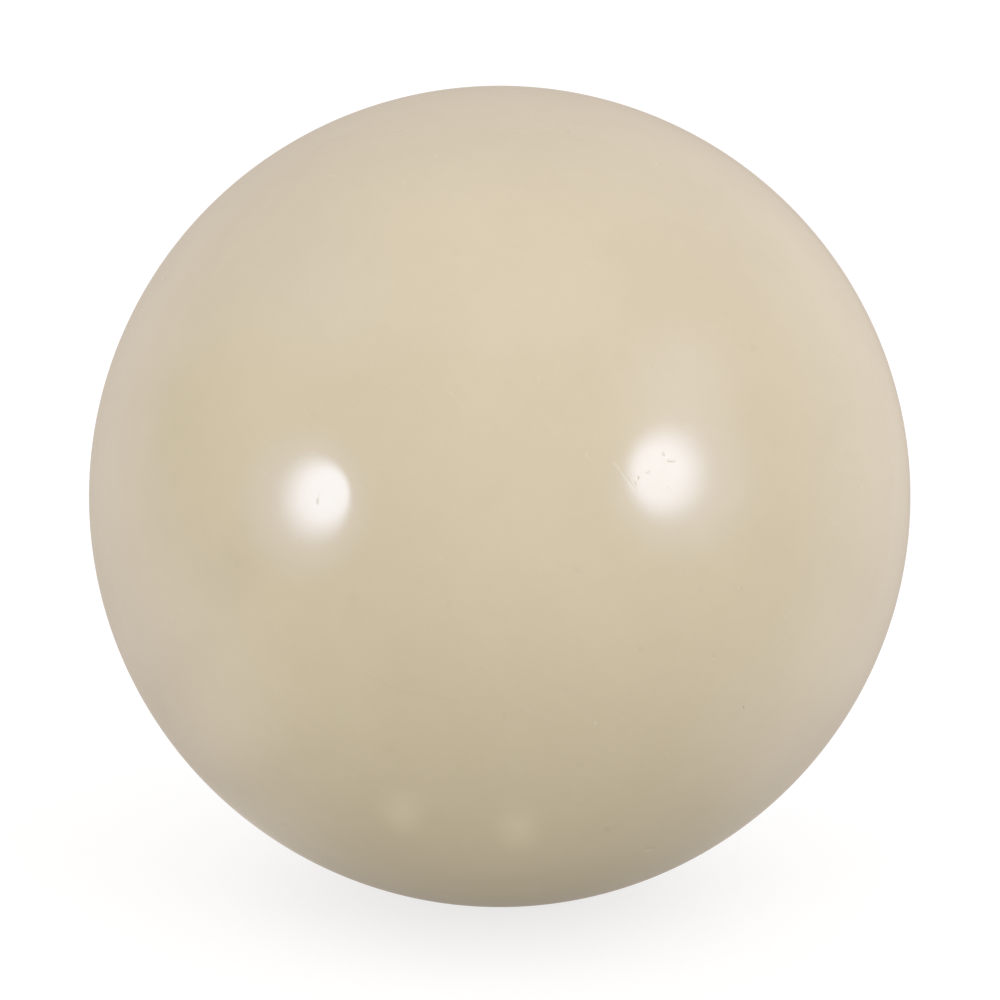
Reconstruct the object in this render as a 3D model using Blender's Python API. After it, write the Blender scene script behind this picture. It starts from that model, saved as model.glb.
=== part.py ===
"""Plain practice ball for cue sports: a solid sphere of cast resin, ground round and polished.

Units are metres, +Z is up and the origin is the ball's centre. The ball has no joints: nothing on it
moves against anything else, and the whole of it rolls.
"""

import math

import bmesh
import bpy
from mathutils import Vector

# Driving dimensions
BALL_DIAMETER = 0.05715  # the standard pool ball, 2 1/4 in
FACETS_PER_QUARTER = 24  # steps in each quarter turn, which leaves the facets within 0.03 mm of the sphere

# Finish
IVORY = (0.66, 0.56, 0.39, 1.0)  # linear RGB
POLISH_ROUGHNESS = 0.05
RESIN_IOR = 1.55


def clear_scene():
    for obj in list(bpy.data.objects):
        bpy.data.objects.remove(obj)


def resin_material():
    material = bpy.data.materials.new("ivory_resin")
    material.use_nodes = True
    shader = material.node_tree.nodes["Principled BSDF"]
    shader.inputs["Base Color"].default_value = IVORY
    shader.inputs["Roughness"].default_value = POLISH_ROUGHNESS
    shader.inputs["Metallic"].default_value = 0.0
    shader.inputs["IOR"].default_value = RESIN_IOR
    return material


def equal_angle_point(on_cube, radius):
    """The point of the sphere for a point of the cube from -1 to 1, with grid lines an equal angle apart."""
    direction = Vector([math.tan(side * math.pi / 4) for side in on_cube])
    return direction.normalized() * radius


def make_ball(material):
    """A gridded cube drawn out to the sphere, so that no facet is much larger than another and no pole
    gathers thin ones. Its extreme points lie on the axes, which makes the box exactly one diameter."""
    bm = bmesh.new()
    bmesh.ops.create_cube(bm, size=2)
    bmesh.ops.subdivide_edges(bm, edges=bm.edges[:], cuts=FACETS_PER_QUARTER - 1, use_grid_fill=True)
    for vert in bm.verts:
        vert.co = equal_angle_point(vert.co, BALL_DIAMETER / 2)
    bmesh.ops.recalc_face_normals(bm, faces=bm.faces[:])
    mesh = bpy.data.meshes.new("ball")
    bm.to_mesh(mesh)
    bm.free()
    mesh.shade_smooth()
    mesh.materials.append(material)
    ball = bpy.data.objects.new("ball", mesh)
    bpy.context.scene.collection.objects.link(ball)
    return ball


def main():
    clear_scene()
    make_ball(resin_material())


main()
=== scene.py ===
"""Looks of the plain practice ball: polished ivory resin with the small marks of play, in a soft light tent.

The faceted CAD ball is replaced by a finer one. Its pits, blots, chips, scratches and dints are dents in the
mesh. Its material gives the resin its cloudiness, its specks and the wear of its polish. Units are metres.
"""

import math
import random
from collections import namedtuple

import bmesh
import bpy
import numpy as np
from mathutils import Matrix, Vector, noise


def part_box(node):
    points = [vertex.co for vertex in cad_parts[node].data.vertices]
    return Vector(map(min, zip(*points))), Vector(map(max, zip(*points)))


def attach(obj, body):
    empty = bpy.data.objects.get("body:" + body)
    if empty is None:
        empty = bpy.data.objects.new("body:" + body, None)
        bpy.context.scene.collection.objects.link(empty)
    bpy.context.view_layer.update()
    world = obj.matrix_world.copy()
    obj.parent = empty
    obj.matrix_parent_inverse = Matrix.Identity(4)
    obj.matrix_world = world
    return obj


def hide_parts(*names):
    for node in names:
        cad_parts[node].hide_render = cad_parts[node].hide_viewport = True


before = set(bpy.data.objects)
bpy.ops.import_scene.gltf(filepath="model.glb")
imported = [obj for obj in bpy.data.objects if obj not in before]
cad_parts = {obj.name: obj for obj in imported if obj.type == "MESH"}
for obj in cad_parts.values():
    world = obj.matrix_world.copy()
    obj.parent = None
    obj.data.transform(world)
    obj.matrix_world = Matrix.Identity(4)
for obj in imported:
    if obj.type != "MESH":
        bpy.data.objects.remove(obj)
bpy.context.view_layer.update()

BALL_LOW, BALL_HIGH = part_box("ball")
RADIUS = (BALL_HIGH.z - BALL_LOW.z) / 2
MM = 0.001
UP = Vector((0, 0, 1))

# Framing: where the photograph has the ball, in its pixels
FRAME_PX = 1000
BALL_CENTRE_PX = Vector((499.7, 496.4))
BALL_RADIUS_PX = 410.8
HALF_PX = 0.5  # from a pixel's corner to its middle

# Camera
LENS_MM = 200
SENSOR_MM = 36
CAMERA_ELEVATION = math.radians(15)
FOCAL_PX = FRAME_PX * LENS_MM / SENSOR_MM
CAMERA_DISTANCE = RADIUS / math.sin(math.atan(BALL_RADIUS_PX / FOCAL_PX))
CAMERA_FORWARD = Vector((0, math.cos(CAMERA_ELEVATION), -math.sin(CAMERA_ELEVATION)))
CAMERA_UP = Vector((0, math.sin(CAMERA_ELEVATION), math.cos(CAMERA_ELEVATION)))
CAMERA_RIGHT = Vector((1, 0, 0))
CAMERA_PLACE = -CAMERA_FORWARD * CAMERA_DISTANCE

# The ball's mesh
FACETS_PER_QUARTER = 64
FACET = RADIUS * math.pi / 2 / FACETS_PER_QUARTER
MOST_HALVINGS = 4
FACETS_IN_MARK = 2.5  # the least facets from a mark's middle to its edge
STRAIGHT = math.radians(170)  # a corner flatter than this is a point along a straight side

# The ball's map: a cell for each side of the cube that it is drawn from
MAP_COLUMNS = 3
MAP_ROWS = 2
CELL_FILL = 0.98  # how much of its cell a side fills

# The shape of a mark: a bowl with a raised rim and a ragged edge. The rim and the reaches count in its radii
BOWL_POWER = 1.5
RIM_AT = 1.25
RIM_WIDTH = 0.5  # from its crest to where it ends, on either side
RIM_POWER = 2
RIM_SHARE = 0.12  # the rim's height, of the mark's depth
RAGGED = 0.35  # how far the edge strays from round
RAGGED_SIZE = 0.12 * MM
MARK_REACH = 1.8  # how far out facets are halved
RAGGED_REACH = 1.2 * MARK_REACH  # how far out points are moved
NO_LENGTH = 1e-18  # stands in for the squared length of a mark whose ends meet, so that it can divide

# How deep each kind of mark is, of its radius
PIT_DEPTH = 0.20
BLOT_DEPTH = 0.006
CHIP_DEPTH = 0.08
SCRATCH_DEPTH = 0.02
DINT_DEPTH = 0.10

# Marks that show in the photograph. Each has the pixels of its two ends there, its radius in millimetres,
# and how far its colour is taken towards grime, below 0, or towards bruised resin, above 0
Shown = namedtuple("Shown", "start end radius tint")
PITS = {
    "lower_right": Shown((743, 706), (743, 708), 0.09, -0.32),
    "right_tick": Shown((741, 586), (741, 590), 0.07, -0.15),
    "top": Shown((567, 130), (567, 131), 0.13, -0.085),
    "top_left": Shown((367, 126), (367, 126), 0.17, -0.15),
    "right": Shown((847, 455), (847, 455), 0.14, -0.05),
    "right_low": Shown((713, 656), (713, 657), 0.13, -0.06),
    "left_rim": Shown((164, 279), (164, 279), 0.15, -0.10),
}
BLOTS = {
    "upper_right": Shown((753, 347), (753, 347), 0.42, -0.07),
    "bottom": Shown((606, 828), (607, 830), 0.34, -0.105),
    "bottom_left": Shown((283, 824), (286, 824), 0.34, -0.075),
    "centre_right": Shown((575, 569), (580, 571), 0.32, -0.052),
    "under_right": Shown((700, 588), (700, 590), 0.28, -0.055),
    "right_middle": Shown((640, 648), (641, 648), 0.28, -0.07),
    "low": Shown((563, 688), (571, 689), 0.22, -0.042),
    "low_middle": Shown((577, 764), (581, 764), 0.24, -0.045),
    "lowest": Shown((579, 803), (579, 804), 0.38, -0.042),
    "left_low": Shown((417, 582), (421, 582), 0.22, -0.045),
    "left_lower": Shown((352, 598), (352, 598), 0.52, -0.038),
    "middle_low": Shown((448, 603), (448, 607), 0.22, -0.045),
    "left": Shown((237, 563), (237, 563), 0.55, -0.04),
    "bottom_middle": Shown((391, 749), (391, 749), 0.42, -0.033),
    "centre_low": Shown((504, 714), (504, 717), 0.26, -0.047),
    "upper": Shown((455, 252), (455, 252), 0.42, -0.037),
    "upper_middle": Shown((559, 335), (559, 335), 0.16, -0.035),
    "smear_left": Shown((365, 675), (400, 690), 0.20, -0.03),
    "smear_right": Shown((400, 690), (455, 700), 0.20, -0.03),
}
CHIPS = {
    "low_middle": Shown((595, 721), (595, 723), 0.15, 0.17),
    "upper_middle": Shown((538, 377), (538, 380), 0.12, 0.14),
    "right": Shown((861, 487), (861, 487), 0.10, 0.32),
    "top_right": Shown((656, 162), (656, 165), 0.07, 0.235),
    "beside_tick": Shown((738, 586), (738, 587), 0.08, 0.12),
    "beside_scratch": Shown((586, 453), (586, 456), 0.10, 0.19),
    "top_left": Shown((436, 155), (436, 156), 0.23, 0.07),
    "upper_left": Shown((329, 175), (335, 176), 0.12, 0.11),
    "top_left_outer": Shown((404, 181), (404, 185), 0.17, 0.06),
    "far_top_left": Shown((393, 130), (398, 130), 0.32, 0.025),
    "bottom": Shown((646, 849), (650, 849), 0.36, 0.015),
    "right_rim": Shown((837, 286), (837, 287), 0.14, 0.11),
}
SCRATCHES = {
    "beside_highlight": Shown((613, 461), (619, 469), 0.07, 0.24),
    "into_highlight": Shown((620, 470), (634, 488), 0.08, 0.12),
    "short": Shown((588, 457), (593, 464), 0.05, 0.10),
}
DINTS = {
    "right_lamp_a": Shown((646, 472), (648, 471), 0.08, 0),
    "right_lamp_b": Shown((634, 482), (635, 485), 0.055, 0),
    "right_lamp_c": Shown((637, 477), (637, 478), 0.08, 0),
    "right_lamp_d": Shown((663, 452), (663, 454), 0.095, 0),
    "right_lamp_e": Shown((668, 460), (674, 460), 0.105, 0),
    "right_lamp_f": Shown((667, 487), (669, 489), 0.068, 0),
    "right_lamp_g": Shown((684, 485), (684, 486), 0.05, 0),
    "left_lamp_a": Shown((317, 499), (317, 503), 0.10, 0),
    "left_lamp_b": Shown((319, 493), (318, 496), 0.082, 0),
}
KINDS = (
    (PITS, PIT_DEPTH),
    (BLOTS, BLOT_DEPTH),
    (CHIPS, CHIP_DEPTH),
    (SCRATCHES, SCRATCH_DEPTH),
    (DINTS, DINT_DEPTH),
)

# Marks of the same kinds on the side that the photograph doesn't show
UNSEEN_COUNT = 60
UNSEEN_FROM = -0.05  # how far behind the ball's middle that side begins, of its radius
SEED = 7

# Any mark, as unit vectors from the ball's middle to its two ends, and lengths in metres
Mark = namedtuple("Mark", "start end radius depth grime bruise")

# Resin, as linear colours
IVORY_DEEP = (0.638, 0.534, 0.375, 1)
IVORY_PALE = (0.664, 0.560, 0.397, 1)
GRIME = (0.20, 0.17, 0.13, 1)
BRUISE = (0.86, 0.80, 0.70, 1)
RESIN_IOR = 1.55
NOISE_MIDDLE = 0.5
CLOUD_SIZE = 12 * MM
CLOUD_DETAIL = 3
CLOUD_SPAN = (0.4, 0.9)  # where the clouds' noise goes from the deep ivory to the pale
MOTTLE_SIZE = 1.4 * MM
MOTTLE_DETAIL = 2
MOTTLE_SHARE = 0.3  # of the clouds' noise
SPECK_SPACING = 1.0 * MM
SPECK_RADIUS = 0.10 * MM
SPECK_GRIME = 0.05

# The wear of the polish
POLISH = 0.03
SCUFFED = 0.055
SCUFF_SPAN = (0.35, 0.7)  # where the clouds' noise goes from polished to scuffed
GRIME_MATTING = 0.3
PEEL_SIZE = 5 * MM
PEEL_DETAIL = 1
PEEL_HEIGHT = 0.002 * MM
HAIRLINE_LENGTH = 4 * MM
HAIRLINE_GAP = 0.5 * MM
HAIRLINE_DETAIL = 1
HAIRLINE_WIDTH = 0.02  # of the noise that they are the level lines of
HAIRLINE_SLOPE = math.radians(-40)  # as the camera sees them
HAIRLINE_SPAN = (0.5, 0.62)  # where the patches' noise goes from no hairlines to full ones
HAIRLINE_BRUISE = 0.05
HAIRLINE_DEPTH = 0.0002 * MM

# The light tent's walls, as linear strengths of red, green and blue
FRONT_LOW = (0.70, 0.66, 0.51, 1)
FRONT_TOP = (0.97, 0.94, 0.86, 1)
LEFT_WALL = (0.73, 0.73, 0.83, 1)
RIGHT_WALL = (0.92, 0.91, 0.97, 1)
BACK_WALL = (0.47, 0.29, 0, 1)
UNDERSIDE = (0, 0.03, 0.02, 1)

# Where one wall goes over into the next, as the cosine of the angle to the direction that is named. A span
# that runs past 1 or -1 stops short of one wall
FRONT_RISE = (0.47, 0.77)  # the camera's up
LEFT_TO_RIGHT = (0.06, 0.58)  # right
SIDES_TO_BACK = (0.42, 1.68)  # behind the ball
FRONT_TO_SIDES = (-0.32, 0.55)  # behind the ball
UNDER_TO_WALLS = (-1.35, -0.15)  # straight up

# Bright and dim places of the tent, as ovals where the photograph has them mirrored in the ball. Each has
# the middle and half the width of its edge, in pixels, and its linear strength, which is added to the walls
# or taken off them. It fades in from its edge to an inner oval where it is full, or else to its edge's
# middle. Both ovals are so many times as tall as they are wide
Glow = namedtuple("Glow", "edge_at edge colour full_at full tall", defaults=(None, 0, 1.0))
BRIGHT_PLACES = {
    "left_lamp": Glow((311, 500), 42, (6.0, 6.8, 8.4, 1), (328, 492), 16, 1.2),
    "left_halo": Glow((302, 504), 76, (0.9, 1.1, 1.9, 1), (313, 500), 32, 1.15),
    "right_lamp": Glow((669, 473), 48, (4.7, 5.2, 6.4, 1), (657, 473), 17, 1.15),
    "right_halo": Glow((690, 485), 91, (1.25, 1.6, 2.6, 1), (662, 476), 22),
    "above_right_lamp": Glow((681, 386), 97, (0.9, 0.95, 1.45, 1)),
    "upper_left": Glow((324, 294), 114, (0, 0.15, 0.45, 1)),
    "left_side": Glow((209, 618), 109, (0.45, 0.43, 0.5, 1)),
    "left_foot": Glow((242, 704), 88, (0.8, 0.75, 0.7, 1)),
    "left_floor": Glow((300, 775), 118, (0.24, 0.23, 0.21, 1)),
    "right_side": Glow((794, 646), 94, (0.28, 0.3, 0.26, 1)),
    "right_foot": Glow((740, 722), 93, (0.29, 0.26, 0.33, 1)),
    "left_glint": Glow((403, 810), 34, (0.72, 0.67, 0.5, 1)),
    "right_glint": Glow((518, 828), 32, (0.65, 0.6, 0.45, 1)),
}
DIM_PLACES = {
    "left_panel": Glow((203, 424), 63, (0.28, 0.25, 0.44, 1), (183, 427), 10, 1.75),
    "left_gap": Glow((229, 575), 47, (0.5, 0.4, 0.25, 1), (234, 565), 3, 1.3),
}

# Stage
FLOOR_SIDE = 4.0
FLOOR_COLOUR = (0.35, 0.35, 0.35, 1)
FLOOR_LIFT = 0.74  # what the floor shines itself, over what it gives back of the tent's light
BACKDROP_RADIUS = 3.0
BACKDROP_SPLITS = 3
BACKDROP_SHINE = 1.0
# The painted shadow under the ball: a black disc that only the ball sees, in place of its own shadow on the
# floor
CONTACT_RADIUS = 0.8 * RADIUS
CONTACT_SIDES = 64
CONTACT_DARK = 0.42  # how much of the light the dark under the ball holds back at its middle
BLACK = (0, 0, 0, 1)
WHITE = (1, 1, 1, 1)

# Sockets of Blender's Mix node when it mixes colours, which share their names with others
MIX_A = 6
MIX_B = 7
MIX_RESULT = 2


def add_node(tree, kind, inputs=None, **settings):
    """A new node with its settings and inputs. An input is a value, or the socket that feeds it."""
    node = tree.nodes.new(kind)
    for name, value in settings.items():
        setattr(node, name, value)
    for name, value in (inputs or {}).items():
        if isinstance(value, bpy.types.NodeSocket):
            tree.links.new(value, node.inputs[name])
        else:
            node.inputs[name].default_value = value
    return node


def mix(tree, share, first, second, blend_type="MIX"):
    """The socket of a colour mixed from two."""
    inputs = {"Factor": share, MIX_A: first, MIX_B: second}
    node = add_node(tree, "ShaderNodeMix", inputs, data_type="RGBA", blend_type=blend_type)
    return node.outputs[MIX_RESULT]


def ramp(tree, value, start, end, low=0.0, high=1.0):
    """The socket of a number that goes smoothly from low to high as the value goes from start to end."""
    inputs = {"Value": value, "From Min": start, "From Max": end, "To Min": low, "To Max": high}
    node = add_node(tree, "ShaderNodeMapRange", inputs, interpolation_type="SMOOTHSTEP")
    return node.outputs["Result"]


def calculate(tree, operation, *values):
    """The socket of a sum on numbers."""
    node = add_node(tree, "ShaderNodeMath", dict(enumerate(values)), operation=operation)
    return node.outputs["Value"]


def calculate_vector(tree, operation, *values, result="Vector"):
    """The socket of a sum on vectors, whose result is a vector or, where that is asked for, a value."""
    node = add_node(tree, "ShaderNodeVectorMath", dict(enumerate(values)), operation=operation)
    return node.outputs[result]


def new_object(name, data):
    made = bpy.data.objects.new(name, data)
    bpy.context.scene.collection.objects.link(made)
    return made


def new_mesh(name, bm):
    """A mesh of what was built, which is then let go."""
    mesh = bpy.data.meshes.new(name)
    bm.to_mesh(mesh)
    bm.free()
    return mesh


def new_material(name):
    material = bpy.data.materials.new(name)
    material.use_nodes = True
    return material


def spot(pixel):
    """The unit vector from the ball's middle to the point of it that the photograph shows at that pixel."""
    across = (pixel[0] + HALF_PX - BALL_CENTRE_PX.x) / FOCAL_PX
    up = (BALL_CENTRE_PX.y - pixel[1] - HALF_PX) / FOCAL_PX
    ray = (CAMERA_RIGHT * across + CAMERA_UP * up + CAMERA_FORWARD).normalized()
    nearest = -CAMERA_PLACE.dot(ray)
    miss = (CAMERA_PLACE + ray * nearest).length
    half_chord = math.sqrt(max(RADIUS**2 - miss**2, 0))
    return (CAMERA_PLACE + ray * (nearest - half_chord)).normalized()


def mirrored(pixel):
    """The direction that the camera sees in the ball at that pixel."""
    outward = spot(pixel)
    to_camera = (CAMERA_PLACE - outward * RADIUS).normalized()
    return outward * (2 * outward.dot(to_camera)) - to_camera


def make_camera():
    """A long lens that looks at the ball's middle. The shift puts it where the photograph has it."""
    data = bpy.data.cameras.new("camera")
    data.lens = LENS_MM
    data.sensor_width = SENSOR_MM
    data.shift_x = 0.5 - BALL_CENTRE_PX.x / FRAME_PX
    data.shift_y = BALL_CENTRE_PX.y / FRAME_PX - 0.5
    camera = new_object("camera", data)
    camera.location = CAMERA_PLACE
    camera.rotation_euler = (math.pi / 2 - CAMERA_ELEVATION, 0, 0)
    bpy.context.scene.camera = camera


def shown_marks():
    """The marks that the photograph shows, where the ball has them."""
    marks = []
    for shown_of_kind, depth in KINDS:
        for shown in shown_of_kind.values():
            radius = shown.radius * MM
            grime = max(-shown.tint, 0)
            bruise = max(shown.tint, 0)
            marks.append(Mark(spot(shown.start), spot(shown.end), radius, radius * depth, grime, bruise))
    return marks


def any_direction(draw):
    return Vector([draw.gauss(0, 1) for _ in range(3)]).normalized()


def unseen_marks(models):
    """Marks like the models, strewn over the far side and turned any way."""
    draw = random.Random(SEED)
    marks = []
    while len(marks) < UNSEEN_COUNT:
        outward = any_direction(draw)
        turned = any_direction(draw)
        model = draw.choice(models)
        if outward.dot(CAMERA_FORWARD) > UNSEEN_FROM:
            along = outward.cross(turned).normalized() * (model.end - model.start).length
            marks.append(model._replace(start=outward, end=(outward + along).normalized()))
    return marks


def gap_to(points, mark):
    """How far each point is from the mark's middle line."""
    start = np.array(mark.start) * RADIUS
    along = np.array(mark.end) * RADIUS - start
    length_squared = max(along @ along, NO_LENGTH)
    share = np.clip((points - start) @ along / length_squared, 0, 1)
    return np.linalg.norm(points - start - share[:, None] * along, axis=1)


def equal_angle_point(on_cube):
    """The point of the ball for a point of the cube from -1 to 1, with grid lines an equal angle apart."""
    return Vector([math.tan(side * math.pi / 4) for side in on_cube]).normalized() * RADIUS


def halve_near(bm, marks, facet):
    """Halves the facets near each mark that is too small for facets of that size."""
    bm.faces.ensure_lookup_table()
    middles = np.array([face.calc_center_median() for face in bm.faces])
    near = np.zeros(len(middles), bool)
    for mark in marks:
        if facet > mark.radius / FACETS_IN_MARK:
            near |= gap_to(middles, mark) < mark.radius * MARK_REACH + facet
    edges = dict.fromkeys(edge for index in np.flatnonzero(near) for edge in bm.faces[index].edges)
    bmesh.ops.subdivide_edges(bm, edges=list(edges), cuts=1, use_grid_fill=True)
    for vert in bm.verts:
        vert.co = vert.co.normalized() * RADIUS


def has_straight_corner(face):
    return any(corner.calc_angle() > STRAIGHT for corner in face.loops)


def even_out(bm):
    """Joins the slivers that halving left to their neighbours, and splits facets with a straight corner."""
    slivers = [face for face in bm.faces if len(face.verts) == 3 and has_straight_corner(face)]
    long_sides = [max(face.edges, key=bmesh.types.BMEdge.calc_length) for face in slivers]
    bmesh.ops.dissolve_edges(bm, edges=long_sides)
    bmesh.ops.triangulate(bm, faces=[face for face in bm.faces if has_straight_corner(face)])


def round_mesh(marks):
    """A gridded cube drawn out to the ball, its facets halved again and again near each mark."""
    bm = bmesh.new()
    bmesh.ops.create_cube(bm, size=2)
    bmesh.ops.subdivide_edges(bm, edges=bm.edges[:], cuts=FACETS_PER_QUARTER - 1, use_grid_fill=True)
    for vert in bm.verts:
        vert.co = equal_angle_point(vert.co)
    for halving in range(MOST_HALVINGS):
        halve_near(bm, marks, FACET / 2**halving)
    even_out(bm)
    bmesh.ops.recalc_face_normals(bm, faces=bm.faces[:])
    return new_mesh("polished_ball", bm)


def read_all(items, name, width=1, kind=float):
    """One property of all of a mesh's items, with a row of that width for each."""
    values = np.empty(len(items) * width, kind)
    items.foreach_get(name, values)
    return values.reshape(-1, width) if width > 1 else values


def shade_round(mesh, outward, dented):
    """Shades the mesh smooth, and as a true ball where it isn't dented."""
    mesh.shade_smooth()
    normals = np.where(dented[:, None], read_all(mesh.vertices, "normal", 3), outward)
    mesh.normals_split_custom_set_from_vertices(normals.tolist())


def press_marks(mesh, marks):
    """Presses each mark into the mesh, and stores how grimy or bruised each point is."""
    points = read_all(mesh.vertices, "co", 3)
    outward = points / RADIUS
    ragged = np.array([noise.noise(Vector(point) / RAGGED_SIZE) for point in points])
    sunk, grime, bruise = np.zeros((3, len(points)))
    for mark in marks:
        gap = gap_to(points, mark) / mark.radius
        close = gap < RAGGED_REACH
        share = gap[close] * (1 + RAGGED * ragged[close])
        bowl = np.clip(1 - share**2, 0, 1) ** BOWL_POWER
        rim = np.clip(1 - np.abs(share - RIM_AT) / RIM_WIDTH, 0, 1) ** RIM_POWER
        sunk[close] += mark.depth * (bowl - RIM_SHARE * rim)
        grime[close] = np.maximum(grime[close], mark.grime * bowl)
        bruise[close] = np.maximum(bruise[close], mark.bruise * bowl)
    mesh.vertices.foreach_set("co", (points - outward * sunk[:, None]).ravel())
    for name, values in (("grime", grime), ("bruise", bruise)):
        mesh.attributes.new(name, "FLOAT", "POINT").data.foreach_set("value", values)
    mesh.update()
    shade_round(mesh, outward, sunk != 0)


def unwrap(mesh):
    """Lays the six sides of the cube that the ball was drawn from out as a map."""
    corners = read_all(mesh.loops, "vertex_index", kind=int)
    points = read_all(mesh.vertices, "co", 3)[corners]
    corner_counts = read_all(mesh.polygons, "loop_total", kind=int)
    middles = np.repeat(read_all(mesh.polygons, "center", 3), corner_counts, axis=0)
    axis = np.abs(middles).argmax(1)
    each = np.arange(len(corners))
    ahead = np.abs(points[each, axis])
    across = np.arctan2(points[each, (axis + 1) % 3], ahead) / (math.pi / 2)
    up = np.arctan2(points[each, (axis + 2) % 3], ahead) / (math.pi / 2)
    column = axis
    row = np.where(middles[each, axis] > 0, 1, 0)
    map_x = (column + 0.5 + across * CELL_FILL) / MAP_COLUMNS
    map_y = (row + 0.5 + up * CELL_FILL) / MAP_ROWS
    layer = mesh.uv_layers.new(name="OFBake")
    layer.uv.foreach_set("vector", np.column_stack((map_x, map_y)).ravel())


def cloudiness(tree, place, size, detail):
    """The socket of a soft noise with features of about that size."""
    node = add_node(tree, "ShaderNodeTexNoise", {"Vector": place, "Scale": 1 / size, "Detail": detail})
    return node.outputs["Fac"]


def specks(tree, place):
    """The socket of the specks in the resin: 1 inside one, 0 elsewhere."""
    node = add_node(tree, "ShaderNodeTexVoronoi", {"Vector": place, "Scale": 1 / SPECK_SPACING})
    edge = SPECK_RADIUS / SPECK_SPACING
    return ramp(tree, node.outputs["Distance"], edge, edge / 2)


def hairlines(tree, place):
    """The socket of fine rubbing marks that lie one way, in patches: level lines of a drawn-out noise."""
    across = CAMERA_RIGHT * math.cos(HAIRLINE_SLOPE) + CAMERA_UP * math.sin(HAIRLINE_SLOPE)
    lie = Matrix((across, CAMERA_FORWARD.cross(across), CAMERA_FORWARD)).transposed()
    size = (HAIRLINE_LENGTH, HAIRLINE_GAP, HAIRLINE_LENGTH)
    inputs = {"Vector": place, "Rotation": lie.to_euler(), "Scale": size}
    drawn_out = add_node(tree, "ShaderNodeMapping", inputs, vector_type="TEXTURE").outputs["Vector"]
    level = calculate(tree, "SUBTRACT", cloudiness(tree, drawn_out, 1, HAIRLINE_DETAIL), NOISE_MIDDLE)
    line = ramp(tree, calculate(tree, "ABSOLUTE", level), HAIRLINE_WIDTH, 0.0)
    patch = ramp(tree, cloudiness(tree, place, HAIRLINE_LENGTH, HAIRLINE_DETAIL), *HAIRLINE_SPAN)
    return calculate(tree, "MULTIPLY", line, patch)


def stored(tree, name):
    """The socket of a number that is stored at each point of the mesh."""
    return add_node(tree, "ShaderNodeAttribute", attribute_name=name).outputs["Fac"]


def resin_material():
    """Ivory resin: cloudy and specked, grimy or bruised in its marks, and unevenly polished."""
    material = new_material("ivory_resin")
    tree = material.node_tree
    shader = tree.nodes["Principled BSDF"]
    shader.inputs["IOR"].default_value = RESIN_IOR
    place = add_node(tree, "ShaderNodeTexCoord").outputs["Object"]
    cloud = cloudiness(tree, place, CLOUD_SIZE, CLOUD_DETAIL)
    mottle = cloudiness(tree, place, MOTTLE_SIZE, MOTTLE_DETAIL)
    peel = cloudiness(tree, place, PEEL_SIZE, PEEL_DETAIL)
    hairline = hairlines(tree, place)
    pressed_grime = stored(tree, "grime")

    blotch = calculate(tree, "MULTIPLY_ADD", mottle, MOTTLE_SHARE, cloud)
    ivory = mix(tree, ramp(tree, blotch, *CLOUD_SPAN), IVORY_DEEP, IVORY_PALE)
    bruise = calculate(tree, "MULTIPLY_ADD", hairline, HAIRLINE_BRUISE, stored(tree, "bruise"))
    grime = calculate(tree, "MULTIPLY_ADD", specks(tree, place), SPECK_GRIME, pressed_grime)
    colour = mix(tree, grime, mix(tree, bruise, ivory, BRUISE), GRIME)
    tree.links.new(colour, shader.inputs["Base Color"])

    scuff = ramp(tree, cloud, *SCUFF_SPAN, POLISH, SCUFFED)
    roughness = calculate(tree, "MULTIPLY_ADD", pressed_grime, GRIME_MATTING, scuff)
    tree.links.new(roughness, shader.inputs["Roughness"])

    raised = calculate(tree, "MULTIPLY", peel, PEEL_HEIGHT)
    height = calculate(tree, "MULTIPLY_ADD", hairline, -HAIRLINE_DEPTH, raised)
    bump = add_node(tree, "ShaderNodeBump", {"Height": height, "Distance": 1.0})
    tree.links.new(bump.outputs["Normal"], shader.inputs["Normal"])
    return material


def make_ball():
    marks = shown_marks()
    marks += unseen_marks(marks)
    mesh = round_mesh(marks)
    press_marks(mesh, marks)
    unwrap(mesh)
    mesh.materials.append(resin_material())
    ball = new_object("polished_ball", mesh)
    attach(ball, "root")
    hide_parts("ball")


def towards(tree, way, direction):
    """The socket of the cosine between the way a ray goes and a direction."""
    return calculate_vector(tree, "DOT_PRODUCT", way, direction, result="Value")


def mirror_place(tree, way):
    """The socket of where the ball mirrors what lies that way to the camera, across and up in its radii."""
    halfway = calculate_vector(tree, "SUBTRACT", way, CAMERA_FORWARD)
    outward = calculate_vector(tree, "NORMALIZE", halfway)
    across = towards(tree, outward, CAMERA_RIGHT)
    up = towards(tree, outward, CAMERA_UP)
    return add_node(tree, "ShaderNodeCombineXYZ", {"X": across, "Y": up}).outputs["Vector"]


def gap_from(tree, place, pixel, tall):
    """The socket of how far a place in the ball's mirror picture is from a pixel, with heights drawn in."""
    outward = (mirrored(pixel) - CAMERA_FORWARD).normalized()
    middle = Vector((outward.dot(CAMERA_RIGHT), outward.dot(CAMERA_UP), 0))
    away = calculate_vector(tree, "SUBTRACT", place, middle)
    drawn_in = calculate_vector(tree, "MULTIPLY", away, (1, 1 / tall, 1))
    return calculate_vector(tree, "LENGTH", drawn_in, result="Value")


def glow_share(tree, place, glow):
    """The socket of how much of a glow's strength a ray meets: 0 at its edge, 1 where it is full."""
    edge = glow.edge / BALL_RADIUS_PX
    full = glow.full / BALL_RADIUS_PX
    full_at = glow.full_at or glow.edge_at
    inside_edge = calculate(tree, "SUBTRACT", edge, gap_from(tree, place, glow.edge_at, glow.tall))
    outside_full = calculate(tree, "SUBTRACT", gap_from(tree, place, full_at, glow.tall), full)
    between = calculate(tree, "ADD", inside_edge, outside_full)
    return ramp(tree, calculate(tree, "DIVIDE", inside_edge, between), 0.0, 1.0)


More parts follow.
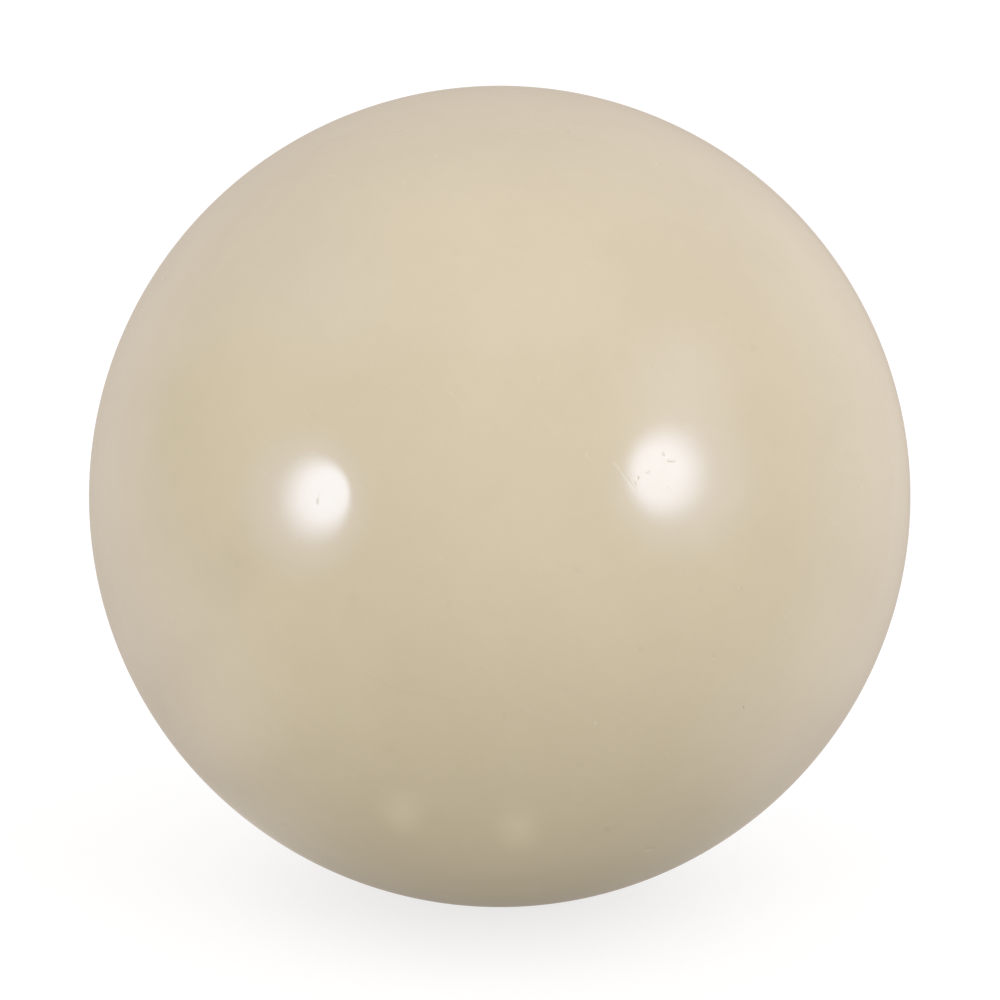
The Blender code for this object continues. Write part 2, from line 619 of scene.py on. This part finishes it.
def tent_walls(tree, way):
    """The socket of the tent's light without its bright and dim places."""
    behind = towards(tree, way, CAMERA_FORWARD)
    rise = ramp(tree, towards(tree, way, CAMERA_UP), *FRONT_RISE)
    rightward = ramp(tree, towards(tree, way, CAMERA_RIGHT), *LEFT_TO_RIGHT)
    above_floor = ramp(tree, towards(tree, way, UP), *UNDER_TO_WALLS)
    front = mix(tree, rise, FRONT_LOW, FRONT_TOP)
    sides = mix(tree, rightward, LEFT_WALL, RIGHT_WALL)
    sides_and_back = mix(tree, ramp(tree, behind, *SIDES_TO_BACK), sides, BACK_WALL)
    around = mix(tree, ramp(tree, behind, *FRONT_TO_SIDES), front, sides_and_back)
    return mix(tree, above_floor, UNDERSIDE, around)


def make_tent():
    """The light: a tent round the ball with two lamps in it, dimmer in front, where the camera stands."""
    world = bpy.data.worlds.new("tent")
    bpy.context.scene.world = world
    world.use_nodes = True
    tree = world.node_tree
    way = add_node(tree, "ShaderNodeTexCoord").outputs["Generated"]
    place = mirror_place(tree, way)
    light = tent_walls(tree, way)
    for places, blend_type in ((BRIGHT_PLACES, "ADD"), (DIM_PLACES, "SUBTRACT")):
        for glow in places.values():
            light = mix(tree, glow_share(tree, place, glow), light, glow.colour, blend_type)
    tree.links.new(light, tree.nodes["Background"].inputs["Color"])


def show_to_camera_only(stage_object):
    for ray in ("diffuse", "glossy", "transmission", "volume_scatter", "shadow"):
        setattr(stage_object, "visible_" + ray, False)


def glowing_material(name, colour, shine):
    """A matt surface that gives back its colour's share of the light, and shines white itself."""
    material = new_material(name)
    tree = material.node_tree
    tree.nodes.remove(tree.nodes["Principled BSDF"])
    matt = add_node(tree, "ShaderNodeBsdfDiffuse", {"Color": colour})
    glow = add_node(tree, "ShaderNodeEmission", {"Color": WHITE, "Strength": shine})
    both = add_node(tree, "ShaderNodeAddShader", {0: matt.outputs[0], 1: glow.outputs[0]})
    tree.links.new(both.outputs[0], tree.nodes["Material Output"].inputs["Surface"])
    return material


def make_floor():
    """A pale floor that keeps the ball's shadow. The ball mirrors the tent's underside in its place."""
    bm = bmesh.new()
    bmesh.ops.create_grid(bm, x_segments=1, y_segments=1, size=FLOOR_SIDE / 2)
    mesh = new_mesh("floor", bm)
    mesh.materials.append(glowing_material("pale_floor", FLOOR_COLOUR, FLOOR_LIFT))
    floor = new_object("floor", mesh)
    floor.location.z = BALL_LOW.z
    show_to_camera_only(floor)


def painted_shadow_material():
    """A painted shadow: black that fades out from the middle."""
    material = new_material("painted_contact_shadow")
    tree = material.node_tree
    place = add_node(tree, "ShaderNodeTexCoord").outputs["Object"]
    away = calculate_vector(tree, "LENGTH", place, result="Value")
    shader = tree.nodes["Principled BSDF"]
    shader.inputs["Base Color"].default_value = BLACK
    shader.inputs["Specular IOR Level"].default_value = 0
    tree.links.new(ramp(tree, away, CONTACT_RADIUS, 0.0, 0.0, CONTACT_DARK), shader.inputs["Alpha"])
    return material


def make_painted_contact_shadow():
    """A painted shadow: a black disc under the ball, which only the ball mirrors, in place of the ball's own
    shadow on the floor.
    """
    bm = bmesh.new()
    bmesh.ops.create_circle(bm, cap_ends=True, segments=CONTACT_SIDES, radius=CONTACT_RADIUS)
    mesh = new_mesh("painted_contact_shadow", bm)
    mesh.materials.append(painted_shadow_material())
    shade = new_object("painted_contact_shadow", mesh)
    shade.location.z = BALL_LOW.z
    shade.visible_camera = False


def make_backdrop():
    """Plain white all round, behind whatever the camera sees."""
    bm = bmesh.new()
    bmesh.ops.create_icosphere(bm, subdivisions=BACKDROP_SPLITS, radius=BACKDROP_RADIUS)
    mesh = new_mesh("backdrop", bm)
    mesh.materials.append(glowing_material("white_backdrop", BLACK, BACKDROP_SHINE))
    backdrop = new_object("backdrop", mesh)
    show_to_camera_only(backdrop)


def main():
    bpy.context.scene.view_settings.view_transform = "Standard"
    make_camera()
    make_ball()
    make_tent()
    make_floor()
    make_painted_contact_shadow()
    make_backdrop()


main()
